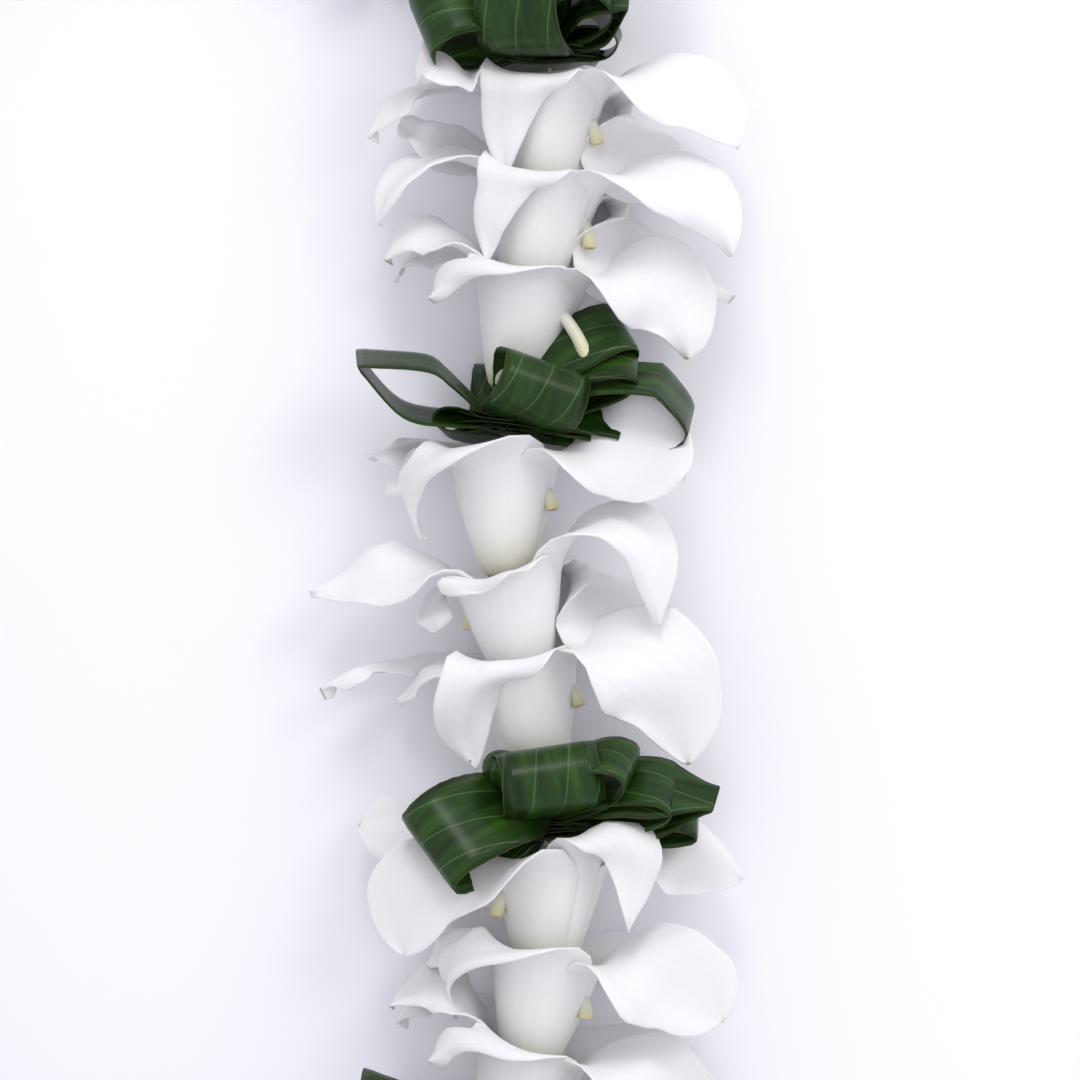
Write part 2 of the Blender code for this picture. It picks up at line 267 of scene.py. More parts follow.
def mesh_piece(name, parts, finishes):
    """One smooth-shaded object from several solids, each (points, quads, marks, number of its finish).

    The marks become the attribute that the materials read their patterns on.
    """
    counts = [len(part[0]) for part in parts]
    first = np.cumsum([0, *counts[:-1]])
    points = np.concatenate([part[0] for part in parts]) * MM
    faces = np.concatenate([part[1] + start for part, start in zip(parts, first)])
    marks = np.concatenate([part[2] for part in parts])
    numbers = np.concatenate([np.full(len(part[1]), part[3]) for part in parts])
    mesh = bpy.data.meshes.new(name)
    mesh.vertices.add(len(points))
    mesh.vertices.foreach_set("co", points.astype(np.float32).ravel())
    mesh.loops.add(faces.size)
    mesh.loops.foreach_set("vertex_index", faces.astype(np.int32).ravel())
    mesh.polygons.add(len(faces))
    mesh.polygons.foreach_set("loop_start", np.arange(len(faces), dtype=np.int32) * faces.shape[1])
    mesh.update(calc_edges=True)
    for finish in finishes:
        mesh.materials.append(finish)
    mesh.polygons.foreach_set("material_index", numbers.astype(np.int32))
    attribute = mesh.attributes.new(GRAIN, "FLOAT_VECTOR", "POINT")
    attribute.data.foreach_set("vector", marks.astype(np.float32).ravel())
    mesh.validate()
    mesh.shade_smooth()
    piece = bpy.data.objects.new(name, mesh)
    bpy.context.scene.collection.objects.link(piece)
    return piece


# --- Flowers ------------------------------------------------------------------------------------

# A tepal: where its tip points round the thread, its blade's length and half width beyond the rim,
# the angles from the axis at which it leaves the rim and ends, the share of the blade by which it has
# bent so far, its twist, how pointed its tip is from 0 to 1, its cupping across in 1/mm, how steeply it
# is creased along its midrib, how far its edges roll outwards, and the height and number of its ruffles.
PLAIN_FLOWER = dict(
    hood=dict(azimuth=104, length=24, half_width=9, leave=24, end=188, bend=0.45, twist=0, point=0.8,
              cupping=0.03, crease=0.2, roll=0.8, ruffle=0.4, waves=1.5),
    broad=dict(azimuth=16, length=31, half_width=13, leave=30, end=165, bend=1.3, twist=-62, point=0.25,
               cupping=0.012, crease=0.0, roll=0.4, ruffle=0.7, waves=1.4),
    outer=dict(azimuth=-14, length=33, half_width=8, leave=24, end=120, bend=0.9, twist=-25, point=0.75,
               cupping=0.03, crease=0.1, roll=0.5, ruffle=0.5, waves=1.6),
    inner=dict(azimuth=194, length=28, half_width=7.5, leave=24, end=130, bend=0.9, twist=20, point=0.9,
               cupping=0.03, crease=0.1, roll=0.5, ruffle=0.8, waves=2.2),
    petal=dict(azimuth=170, length=29, half_width=9, leave=24, end=155, bend=1.0, twist=28, point=0.7,
               cupping=0.04, crease=0.0, roll=0.5, ruffle=0.6, waves=1.6),
)


def flower_like(turn, stalk, **changes):
    """The plain flower turned round the thread by turn, with some values of its tepals changed.

    Its stalk is given by its azimuth and its length.
    """
    tepals = tuple({**plain, **changes[name]} for name, plain in PLAIN_FLOWER.items())
    return dict(turn=turn, stalk=stalk, tepals=tepals)


# Beside the widest petal, its hood lies folded along the cup's left side.
FOLDED_HOOD_FLOWER = flower_like(
    turn=8, stalk=(14, 4),
    hood=dict(azimuth=147, length=28, half_width=8.5, leave=44, end=190, bend=0.42, twist=48, crease=0.5,
              point=0.75, roll=0.2),
    broad=dict(azimuth=12, length=40, half_width=13.5, leave=98, end=182, bend=0.85, twist=-72,
               point=0.55, roll=0.1),
    outer=dict(azimuth=-20, length=28, leave=50, end=125),
    inner=dict(azimuth=184, length=33, half_width=4.5, leave=66, end=104, twist=16, ruffle=1.3,
               waves=2.6),
    petal=dict(azimuth=194, length=19, half_width=5, leave=50, end=118, bend=0.6, twist=20),
)
# Its hood is only a rolled lip, and one long tepal reaches to the left.
ROLLED_LIP_FLOWER = flower_like(
    turn=6, stalk=(206, 4),
    hood=dict(azimuth=118, length=6.5, half_width=9, leave=50, end=160, bend=0.9, point=0.1, crease=0.0,
              roll=0.2),
    broad=dict(azimuth=16, length=43, half_width=9.0, leave=40, end=190, bend=0.8, twist=-38, point=0.75),
    outer=dict(azimuth=-2, length=26, half_width=12, leave=126, end=166, bend=0.3, twist=-74, point=0.3,
               roll=0.1, ruffle=0.3),
    inner=dict(azimuth=168, length=13, half_width=5.5, leave=90, end=176, bend=0.7, twist=44, point=0.4),
    petal=dict(azimuth=180, length=31, half_width=9.5, leave=66, end=92, bend=0.5, twist=52, point=0.8,
               ruffle=1.0),
)
# Its hood arches over to the left, and its broad petal faces up.
ARCHED_HOOD_FLOWER = flower_like(
    turn=14, stalk=(22, 4),
    hood=dict(azimuth=173, length=27, half_width=8.5, leave=50, end=194, bend=0.6, point=0.75,
              crease=0.05, roll=0.6),
    broad=dict(azimuth=20, length=31, half_width=11.5, leave=70, end=122, bend=0.8, twist=-74, point=0.1,
               roll=0.2),
    outer=dict(azimuth=-6, length=29, leave=50, end=136, bend=0.8, twist=-30),
    inner=dict(azimuth=190, length=20, half_width=6, leave=40, end=96, bend=0.6, twist=40, ruffle=1.2),
    petal=dict(azimuth=184, length=17, half_width=6, leave=60, end=140, bend=0.7, twist=40),
)
# A smooth trumpet whose lip curls back to the left.
TRUMPET_FLOWER = flower_like(
    turn=12, stalk=(38, 9.5),
    hood=dict(azimuth=158, length=17, half_width=6.5, leave=50, end=158, bend=0.62, twist=8, point=0.6,
              crease=0.0, roll=0.9),
    broad=dict(azimuth=6, length=33, half_width=11.5, leave=66, end=182, bend=1.1, twist=-72, point=0.6,
               roll=0.1),
    outer=dict(azimuth=-3, length=34, half_width=7, leave=52, end=118, bend=1.0, twist=-34, point=0.6),
    inner=dict(azimuth=190, length=24, half_width=6.5, leave=50, end=166, bend=1.0, twist=30),
    petal=dict(azimuth=178, length=26, half_width=8, leave=40, end=166, bend=1.1, twist=36, ruffle=1.1),
)
# The hood's point hangs down the front of the cup, left of its bulge.
POINTED_HOOD_FLOWER = flower_like(
    turn=18, stalk=(20, 5),
    hood=dict(azimuth=136, length=25, half_width=6.8, leave=40, end=190, bend=0.34, twist=24, point=0.95,
              crease=0.4, roll=0.2),
    broad=dict(azimuth=16, length=38, half_width=10.5, leave=64, end=166, bend=1.1, twist=-56,
               point=0.75, ruffle=1.1),
    outer=dict(azimuth=4, length=26, half_width=12, leave=112, end=170, bend=0.3, twist=-74, point=0.3,
               roll=0.1, ruffle=0.3),
    inner=dict(azimuth=184, length=24, half_width=6, leave=58, end=70, bend=0.6, twist=52, point=0.1,
               ruffle=1.1),
    petal=dict(azimuth=171, length=33, half_width=8.5, leave=74, end=176, bend=1.0, twist=24,
               cupping=0.07),
)
WIDE_HOOD_FLOWER = flower_like(
    turn=16, stalk=(26, 4.5),
    hood=dict(azimuth=132, length=26, half_width=7.5, leave=40, end=192, bend=0.32, twist=24, point=0.9,
              crease=0.4, roll=0.2),
    broad=dict(azimuth=12, length=35, half_width=12, leave=72, end=146, bend=0.9, twist=-48, point=0.5),
    outer=dict(azimuth=4, length=26, half_width=12, leave=112, end=170, bend=0.3, twist=-72, point=0.3,
               roll=0.1, ruffle=0.3),
    inner=dict(azimuth=174, length=33, half_width=10, leave=80, end=158, bend=1.0, twist=26,
               cupping=0.06),
    petal=dict(azimuth=148, length=22, half_width=9, leave=50, end=112, bend=0.7, twist=36, point=0.2,
               ruffle=1.2),
)
# One tepal rises to a peak and folds over to the right, and a smooth one covers the left side.
PEAKED_FLOWER = flower_like(
    turn=44, stalk=(160, 5),
    hood=dict(azimuth=160, length=34, half_width=11.5, leave=92, end=182, bend=0.95, twist=46, point=0.3,
              crease=0.0, roll=0.1),
    broad=dict(azimuth=38, length=37, half_width=9, leave=-6, end=190, bend=0.66, twist=-28, point=0.85,
               crease=0.35, roll=0.1),
    outer=dict(azimuth=0, length=31, half_width=10, leave=60, end=112, bend=0.7, twist=-60, point=0.5),
    inner=dict(azimuth=-60, length=24, half_width=8, leave=50, end=100),
    petal=dict(azimuth=188, length=31, half_width=9, leave=70, end=88, bend=0.7, twist=60, point=0.1),
)
LONG_SECTION_FLOWERS = (FOLDED_HOOD_FLOWER, ROLLED_LIP_FLOWER, ARCHED_HOOD_FLOWER)
SHORT_SECTION_FLOWERS = (TRUMPET_FLOWER, POINTED_HOOD_FLOWER, WIDE_HOOD_FLOWER)
LAST_SECTION_FLOWERS = (TRUMPET_FLOWER, ARCHED_HOOD_FLOWER, PEAKED_FLOWER)


def cup_radius(share):
    """The cup's radius at a share of its length: narrow at the needle hole, and then full and round."""
    return CUP_BASE_RADIUS + (CUP_RIM_RADIUS - CUP_BASE_RADIUS) * share**CUP_FULLNESS


def midrib(tepal, slot):
    """The midrib from the cup's base to the blade's tip, a row for each step.

    In the cup it follows the cup's profile. Beyond the rim its angle from the axis passes smoothly
    from the cup's flare through leave to end, while its azimuth turns from its slot to its own.
    Returns radius, along, azimuth, tilt of the cross ribs, and the shares of the cup and the blade.
    """
    cup = np.linspace(0.0, 1.0, CUP_ROWS)
    fine = np.linspace(0.0, 1.0, MIDRIB_STEPS + 1)
    leave, end = tepal["leave"], tepal["end"]
    angle = CUP_FLARE + (leave - CUP_FLARE) * smooth_step(fine / FLARED)
    angle = np.radians(angle + (end - leave) * smooth_step((fine - BEND_START) / tepal["bend"]))
    step = tepal["length"] / MIDRIB_STEPS
    radius = CUP_RIM_RADIUS + step * np.concatenate([[0], np.cumsum(np.sin(angle))[:-1]])
    along = CUP_LENGTH + step * np.concatenate([[0], np.cumsum(np.cos(angle))[:-1]])
    turn = (tepal["azimuth"] - slot + 180) % 360 - 180
    azimuth = slot + turn * smooth_step(fine / TURNED)
    tilt = angle * smooth_step(fine / TILTED)
    blade = 1 - (1 - np.linspace(0.0, 1.0, BLADE_ROWS + 1)[1:]) ** BLADE_CROWDING

    def joined(in_cup, in_blade):
        return np.concatenate([in_cup, np.interp(blade, fine, in_blade)])

    return (
        joined(cup_radius(cup), radius),
        joined(cup * CUP_LENGTH, along),
        joined(np.full(CUP_ROWS, slot), azimuth),
        joined(np.zeros(CUP_ROWS), tilt),
        np.concatenate([cup, np.ones(BLADE_ROWS)]),
        np.concatenate([np.zeros(CUP_ROWS), blade]),
    )


def half_widths(tepal, half_angle, cup, blade):
    """Half a tepal's width at each row: the cup's arc, then a swell beyond the rim and a taper.

    The taper is (1 - b^f)^e at a share b of the blade. The more pointed the tip, the smaller f is and
    the larger e. The tip keeps a sliver of width.
    """
    in_cup = cup_radius(cup) * math.radians(half_angle)
    at_rim = CUP_RIM_RADIUS * math.radians(half_angle)
    swell = at_rim + (tepal["half_width"] - at_rim) * smooth_step(blade / SWOLLEN)
    fullness = 2 + 3.5 * (1 - tepal["point"])
    taper = (1 - blade**fullness + SLIVER) ** (0.45 + 0.7 * tepal["point"])
    return np.where(blade > 0, swell * taper, in_cup)


def relief(tepal, blade, across, lateral, phase):
    """How far a blade rises off its arc, before it relaxes from the cup.

    The crease folds both halves back from the midrib, as sqrt(x^2 + 1) at x mm from it. Ruffles and
    a finer frill are sine waves along the blade that grow with the third and fourth power of the
    way to an edge. Soft hollows are a product of two slow sine waves.
    """
    other_side = across > 0
    crease = -tepal["crease"] * (np.sqrt(lateral**2 + 1.0) - 1.0)
    turns = tepal["waves"] * blade
    wave = np.sin(2 * np.pi * (turns + 0.12 * across) + phase + 1.7 * other_side)
    frill = np.sin(2 * np.pi * 2.7 * turns + 2.3 * phase + 2.1 * other_side)
    ruffle = tepal["ruffle"] * (np.abs(across) ** 3 * wave + 0.3 * across**4 * frill)
    hollows = np.sin(7.3 * blade + 2.1 * across + 3 * phase) * np.sin(3.9 * blade - 1.6 * across + phase)
    roll = -2 * tepal["roll"] * np.abs(across) ** 5
    return crease + ruffle + SOFTNESS * hollows + roll


def tepal_grid(tepal, slot, half_angle, lift, phase):
    """A tepal's middle surface as points[row, column].

    Each cross rib is an arc to both sides of the midrib, turned about it by the twist. In the cup its
    curvature is the cup's own, and beyond the rim it relaxes to the tepal's cupping. In the cup the
    tepal is lifted off its neighbours and its edges sink. Its outline wavers as a slow and a quick
    sine wave. Returns the points, the way across from -1 to 1, the share of the blade, and marks:
    the way across, the share of the whole length, and a seed where the tip may be bruised.
    """
    radius, along, azimuth, tilt, cup, blade = midrib(tepal, slot)
    opening = np.minimum(1.0, CUP_OPENING * cup)
    radius = radius + lift * opening * (1 - smooth_step(blade / SWOLLEN))
    relax = smooth_step(blade / RELAXED)
    half = half_widths(tepal, half_angle, cup, blade)
    cup_curvature = 1 / np.where(blade > 0, CUP_RIM_RADIUS, cup_radius(cup))
    curvature = (1 - relax) * cup_curvature + relax * tepal["cupping"] + NEARLY_FLAT

    turn = np.radians(azimuth)
    zero = np.zeros_like(turn)
    out = np.stack([np.cos(turn), np.sin(turn), zero], axis=-1)
    side = np.stack([-np.sin(turn), np.cos(turn), zero], axis=-1)
    axis = np.array([0.0, 0.0, 1.0])
    inward = -np.cos(tilt)[:, None] * out + np.sin(tilt)[:, None] * axis
    twist = np.radians(tepal["twist"]) * smooth_step(blade / TWISTED)
    cos_t, sin_t = np.cos(twist)[:, None], np.sin(twist)[:, None]
    side, inward = cos_t * side + sin_t * inward, cos_t * inward - sin_t * side

    centre = radius[:, None] * out + along[:, None] * axis
    total = (cup * CUP_LENGTH + blade * tepal["length"]) / (CUP_LENGTH + tepal["length"])
    half, relax, curvature, opening = half[:, None], relax[:, None], curvature[:, None], opening[:, None]
    blade, total = blade[:, None], total[:, None]
    across = np.sin(0.5 * np.pi * np.linspace(-1.0, 1.0, TEPAL_COLUMNS))
    edge_phase = phase + 2.1 * (across > 0)
    outline = np.sin(9 * blade + 2 * edge_phase) + 0.35 * np.sin(31 * blade + 5 * edge_phase)
    lateral = half * across * (1 + UNEVENNESS * relax * across**2 * outline)
    arc = lateral * curvature
    width = np.sin(arc) / curvature
    rise = (1 - np.cos(arc)) / curvature + relax * relief(tepal, blade, across, lateral, phase)
    rise = rise + EDGE_SINK * (1 - relax) * opening * across**4
    grid = centre[:, None] + width[..., None] * side[:, None] + rise[..., None] * inward[:, None]
    bruised = phase if tepal["point"] > 0.5 else 0.0
    marks = np.stack(np.broadcast_arrays(across, total, bruised), axis=-1)
    return grid, across, blade, marks


def petal_solid(tepal, slot, half_angle, lift, phase, place):
    """A tepal as a solid in the lei's frame, thick along its middle and thin at its edges and tip."""
    grid, across, blade, marks = tepal_grid(tepal, slot, half_angle, lift, phase)
    world = rest_on_table(in_world(grid, place), PETAL_THICKNESS)
    middle = PETAL_THICKNESS * (1 - TIP_THINNING * blade**2)
    thickness = EDGE_THICKNESS + (middle - EDGE_THICKNESS) * np.sqrt(1 - across**4)
    return thin_solid(world, thickness, marks)


def tube_solid(path, radii, mark, closed=False):
    """A tube along a path of points, with radii[ring, side] and rings square to the path.

    A closed one's last ring is joined to its first, and an open one's end rings are tiny. Returns
    points, quads and marks: the given one and the share of the path.
    """
    ahead = np.roll(path, -1, axis=0) - np.roll(path, 1, axis=0)
    if not closed:
        ahead[0], ahead[-1] = path[1] - path[0], path[-1] - path[-2]
    ahead /= np.linalg.norm(ahead, axis=1, keepdims=True)
    across = np.cross(ahead, TUBE_REFERENCE)
    across /= np.linalg.norm(across, axis=1, keepdims=True)
    above = np.cross(across, ahead)
    rings, sides = radii.shape
    turn = np.linspace(0, 2 * np.pi, sides, endpoint=False)
    ring = np.cos(turn)[None, :, None] * across[:, None] + np.sin(turn)[None, :, None] * above[:, None]
    points = (path[:, None] + radii[..., None] * ring).reshape(-1, 3)
    here = np.arange(rings * sides).reshape(rings, sides)
    there = np.roll(here, -1, axis=0)
    if not closed:
        here, there = here[:-1], there[:-1]
    beside, beyond = np.roll(here, -1, axis=1), np.roll(there, -1, axis=1)
    faces = np.stack([here, there, beyond, beside], axis=-1).reshape(-1, 4)
    marks = np.zeros((len(points), 3))
    marks[:, 0] = mark
    marks[:, 1] = np.repeat(np.linspace(0, 1, rings), sides)
    return points, faces, marks


def stalk_solid(azimuth, length, place, phase):
    """The cut stub of the flower's stalk, bent back along the outside of the cup.

    At a share s of its length its distance from the thread has grown by bend length^2 s (1 - 0.4 s).
    """
    share = np.linspace(0.0, 1.0, STALK_RINGS)
    radius = cup_radius(STALK_JOIN) - STALK_SINK + STALK_BEND * length**2 * share * (1 - 0.4 * share)
    along = STALK_JOIN * CUP_LENGTH - length * share
    turn = np.radians(azimuth + STALK_SWING * np.sin(phase) * share)
    path = np.stack([radius * np.cos(turn), radius * np.sin(turn), along], axis=-1)
    path = np.concatenate([path[:1], path, path[-1:]])
    path[0, 2] += TUBE_POINT
    path[-1, 2] -= TUBE_POINT
    radii = STALK_RADIUS * (0.9 + 0.15 * share) * np.where(share == 1, 0.8, 1)
    radii = np.concatenate([[TUBE_POINT], radii, [TUBE_POINT]])[:, None] * np.ones(STALK_SIDES)
    points, faces, marks = tube_solid(path, radii, phase)
    return in_world(points, place), faces, marks


def make_flower(name, flower, base_s, rng, finishes):
    """An orchid whose needle hole is on the thread at base_s. Its first tepal is its hood."""
    place = station(base_s, base_s + CUP_LENGTH)
    parts = []
    for number, (tepal, slot) in enumerate(zip(flower["tepals"], TEPAL_SLOTS)):
        hood = number == 0
        half_angle = HOOD_HALF_ANGLE if hood else TEPAL_HALF_ANGLE
        # The others lie inside the cup, where neighbours keep apart.
        lift = HOOD_LIFT if hood else HOOD_LIFT * (-0.5 - 0.5 * (number % 2))
        phase = rng.uniform(0, 2 * math.pi)
        parts.append((*petal_solid(tepal, slot + flower["turn"], half_angle, lift, phase, place), 0))
    parts.append((*stalk_solid(*flower["stalk"], place, rng.uniform(0, 2 * math.pi)), 1))
    return mesh_piece(name, parts, finishes)


def varied(flower, rng, amount):
    """A flower a little unlike its pattern, by an amount from 0 to 1."""
    tepals = []
    for tepal in flower["tepals"]:
        new = dict(tepal)
        new["azimuth"] += amount * rng.normal(0, 5)
        new["length"] *= 1 + amount * rng.uniform(-0.08, 0.04)
        new["half_width"] *= 1 + amount * rng.uniform(-0.1, 0.05)
        new["end"] += amount * rng.normal(0, 6)
        new["twist"] += amount * rng.normal(0, 6)
        new["ruffle"] *= 1 + amount * rng.uniform(-0.4, 0.6)
        tepals.append(new)
    azimuth, length = flower["stalk"]
    turn = flower["turn"] + amount * rng.normal(0, 5)
    stalk = (azimuth + amount * rng.normal(0, 8), length)
    return dict(turn=turn, stalk=stalk, tepals=tuple(tepals))


# --- Leaf rosettes ------------------------------------------------------------------------------

# A loop's profile as it leaves the thread and comes back: (share of its reach, share of its rise).
ROLL = ((0.05, 0.06), (0.3, 0.02), (0.68, 0.04), (0.93, 0.25), (1.0, 0.58), (0.9, 0.93), (0.66, 1.0),
        (0.4, 0.78), (0.2, 0.42), (0.05, 0.2))
FOLD = ((0.05, 0.06), (0.4, 0.06), (0.7, 0.2), (0.97, 0.88), (1.0, 0.985), (0.93, 1.0), (0.55, 0.97),
        (0.4, 0.74), (0.2, 0.32), (0.05, 0.18))
ARCH = ((0.05, 0.06), (0.3, 0.14), (0.6, 0.1), (0.86, 0.06), (1.0, 0.3), (0.86, 0.9), (0.78, 1.0),
        (0.5, 0.93), (0.22, 0.55), (0.05, 0.2))
TIGHT = ((0.05, 0.06), (0.45, 0.0), (0.85, 0.08), (1.0, 0.5), (0.86, 0.92), (0.5, 1.0), (0.22, 0.72),
         (0.05, 0.3))

# A rosette's loops: profile, azimuth round the thread, droop back along the thread, twist round the
# loop's own length, reach, rise, the strip's width and how far the strip is set along the thread. A
# pointed one narrows by that share towards its far end. The last loop is squashed on the table.
LONG_SECTION_ROSETTE = (
    dict(profile=ROLL, azimuth=152, droop=18, twist=54, reach=30, rise=12, width=19, set=4.5),
    dict(profile=TIGHT, azimuth=84, droop=-12, twist=-3, reach=21, rise=13, width=20, set=1),
    dict(profile=TIGHT, azimuth=36, droop=-16, twist=-34, reach=25, rise=9, width=12, set=2),
    dict(profile=FOLD, azimuth=14, droop=13, twist=-46, reach=36, rise=8, width=16, set=6.5, pointed=0.6),
    dict(profile=ROLL, azimuth=18, droop=2, twist=-38, reach=28, rise=8, width=14, set=3),
    dict(profile=ROLL, azimuth=2, droop=8, twist=-46, reach=30, rise=6, width=11, set=1),
    dict(profile=TIGHT, azimuth=128, droop=-30, twist=20, reach=20, rise=8, width=9, set=1),
    dict(profile=ROLL, azimuth=270, droop=0, twist=0, reach=18, rise=12, width=17, set=0),
)
SHORT_SECTION_ROSETTE = (
    dict(profile=FOLD, azimuth=174, droop=4, twist=21, reach=31, rise=12.5, width=12, set=0),
    dict(profile=TIGHT, azimuth=74, droop=-6, twist=12, reach=21, rise=11.5, width=18.5, set=0),
    dict(profile=TIGHT, azimuth=4, droop=-38, twist=-56, reach=29, rise=8, width=14, set=2),
    dict(profile=TIGHT, azimuth=16, droop=-22, twist=-46, reach=29, rise=7, width=11, set=1),
    dict(profile=ARCH, azimuth=8, droop=-2, twist=-34, reach=37, rise=13, width=13, set=0),
    dict(profile=FOLD, azimuth=10, droop=2, twist=-50, reach=24, rise=5, width=8, set=0),
    dict(profile=ROLL, azimuth=190, droop=4, twist=-8, reach=14, rise=5, width=14, set=-3),
    dict(profile=ROLL, azimuth=270, droop=0, twist=0, reach=18, rise=12, width=17, set=0),
)
TOP_ROSETTE = (
    dict(profile=ROLL, azimuth=160, droop=12, twist=56, reach=27, rise=13, width=16, set=7),
    dict(profile=TIGHT, azimuth=109, droop=-2, twist=4, reach=24, rise=20, width=17, set=-1.5),
    dict(profile=TIGHT, azimuth=30, droop=-14, twist=-36, reach=20, rise=10, width=13, set=2),
    dict(profile=FOLD, azimuth=14, droop=-10, twist=-54, reach=19, rise=9, width=14, set=3),
    dict(profile=TIGHT, azimuth=10, droop=6, twist=-20, reach=14, rise=7, width=11, set=0),
    dict(profile=ROLL, azimuth=270, droop=0, twist=0, reach=18, rise=12, width=17, set=0),
)


def through_points(knots, count):
    """A smooth curve through knots: a Catmull-Rom spline, read at even steps of its chord length."""
    knots = np.asarray(knots, float)
    ends = np.concatenate([[2 * knots[0] - knots[1]], knots, [2 * knots[-1] - knots[-2]]])
    piece, t = np.divmod(np.linspace(0, len(knots) - 1 - 1e-9, 12 * len(knots)), 1)
    i, t = piece.astype(int), t[:, None]
    a, b, c, d = ends[i], ends[i + 1], ends[i + 2], ends[i + 3]
    curve = 0.5 * (2 * b + (c - a) * t + (2 * a - 5 * b + 4 * c - d) * t**2 + (3 * b - a - 3 * c + d) * t**3)
    length = np.concatenate([[0], np.cumsum(np.linalg.norm(np.diff(curve, axis=0), axis=1))])
    even = np.linspace(0, length[-1], count)
    return np.stack([np.interp(even, length, column) for column in curve.T], axis=-1), even


def loop_grid(loop, phase):
    """One loop of the strip as points[row, column], with its marks.

    The loop's own frame is its outward direction, turned back by its droop, its rise and the
    direction across the strip, both turned by its twist. The profile is carried straight across. The
    strip widens with the square root of the way out, and its edges waver as two sine waves.
    """
    turn, droop, twist = (math.radians(loop[key]) for key in ("azimuth", "droop", "twist"))
    out = np.array([math.cos(turn), math.sin(turn), 0.0])
    side = np.array([-math.sin(turn), math.cos(turn), 0.0])
    axis = np.array([0.0, 0.0, 1.0])
    reach_way = math.cos(droop) * out - math.sin(droop) * axis
    rise_way = math.cos(droop) * axis + math.sin(droop) * out
    strip_way = math.cos(twist) * side + math.sin(twist) * rise_way
    rise_way = math.cos(twist) * rise_way - math.sin(twist) * side
    profile, length = through_points(np.asarray(loop["profile"]) * (loop["reach"], loop["rise"]), BAND_ROWS)
    away = np.sqrt(np.clip(profile[:, 0] / loop["reach"], 0, 1))
    half = 0.5 * loop["width"] * (LOOP_NECK + (1 - LOOP_NECK) * smooth_step(away * LOOP_GROWTH))
    far = smooth_step((away - LOOP_POINT_START) / (1 - LOOP_POINT_START))
    half = half * (1 - loop.get("pointed", 0.0) * far)
    across = np.linspace(-1.0, 1.0, BAND_COLUMNS)
    uneven = 1 + 0.02 * np.sin(length * 0.37 + phase) + 0.008 * np.sin(length * 1.9 + 2 * phase)
    lateral = (half * uneven)[:, None] * across
    grid = (
        profile[:, :1, None] * reach_way
        + profile[:, 1:, None] * rise_way
        + lateral[..., None] * strip_way
        + (LOOP_LEVEL + loop["set"]) * axis
    )
    shifted = length[:, None] + PATTERN_SHIFT * phase
    return grid, np.stack(np.broadcast_arrays(lateral, shifted, np.abs(across)), axis=-1)


def stack_fold(level, turn, phase):
    """One of the flat folds that the thread pierces, as points[row, column], with its marks.

    It is a plate across the thread. Its height grows by curl |r|^2.5 towards both ends of its
    length, where r goes from -1 to 1, and it tilts a little across its width.
    """
    rows, columns = np.linspace(-1, 1, FOLD_ROWS), np.linspace(-1, 1, BAND_COLUMNS)
    row, column = np.meshgrid(rows, columns, indexing="ij")
    turn = math.radians(turn)
    out, up = FOLD_LENGTH * row, FOLD_WIDTH * column
    outward = out * math.cos(turn) - up * math.sin(turn)
    upward = out * math.sin(turn) + up * math.cos(turn)
    curl = FOLD_CURL * np.abs(row) ** 2.5 * math.sin(phase)
    along = level + curl + FOLD_TILT * column * math.cos(2 * phase)
    marks = np.stack([up, out + PATTERN_SHIFT * phase, np.abs(column)], axis=-1)
    return np.stack([outward, upward, along], axis=-1), marks


def leaf_solid(grid, marks, place):
    """A piece of the leaf strip in the lei's frame, from points in its rosette's frame."""
    world = rest_on_table(in_world(grid, place), LEAF_THICKNESS)
    return thin_solid(world, np.full(world.shape[:2], LEAF_THICKNESS), marks)


def make_rosette(name, loops, s, rng, finish):
    """A rosette on the thread at s: one folded leaf strip's loops, and its stack of pierced folds."""
    place = station(s, s + ROSETTE_HEIGHT)
    parts = []
    for loop in loops:
        phase = rng.uniform(0, 2 * math.pi)
        parts.append((*leaf_solid(*loop_grid(loop, phase), place), 0))
    for number in range(FOLD_COUNT):
        phase = rng.uniform(0, 2 * math.pi)
        spread = rng.uniform(-FOLD_TURN_SPREAD, FOLD_TURN_SPREAD)
        turn = FOLD_FIRST_TURN + FOLD_TURN_STEP * number + spread
        level = FOLD_LEVEL + FOLD_PITCH * number
        parts.append((*leaf_solid(*stack_fold(level, turn, phase), place), 0))
    return mesh_piece(name, parts, [finish])


def varied_loops(loops, rng, amount):
    """A rosette's loops a little unlike their pattern."""
    return tuple(
        {
            **loop,
            "azimuth": loop["azimuth"] + amount * rng.normal(0, 4),
            "droop": loop["droop"] + amount * rng.normal(0, 4),
            "twist": loop["twist"] + amount * rng.normal(0, 6),
            "reach": loop["reach"] * (1 + amount * rng.uniform(-0.07, 0.03)),
        }
        for loop in loops
    )


# --- The thread ---------------------------------------------------------------------------------


def two_ply(path, closed):
    """A thread of two plies along a path, with PLY_RINGS points for each turn that looks the same.

    Its radius is the waist between the plies plus the rest times the squared cosine of the angle
    from the plies, which lie on a line that makes half a turn in that stretch.
    """
    turn = np.linspace(0, 2 * np.pi, PLY_SIDES, endpoint=False)
    plies = np.pi * np.arange(len(path))[:, None] / PLY_RINGS
    radii = THREAD_RADIUS * (PLY_WAIST + (1 - PLY_WAIST) * np.cos(turn - plies) ** 2)
    if not closed:
        radii[0], radii[-1] = TUBE_POINT, TUBE_POINT
    return tube_solid(path, radii, 0.0, closed)


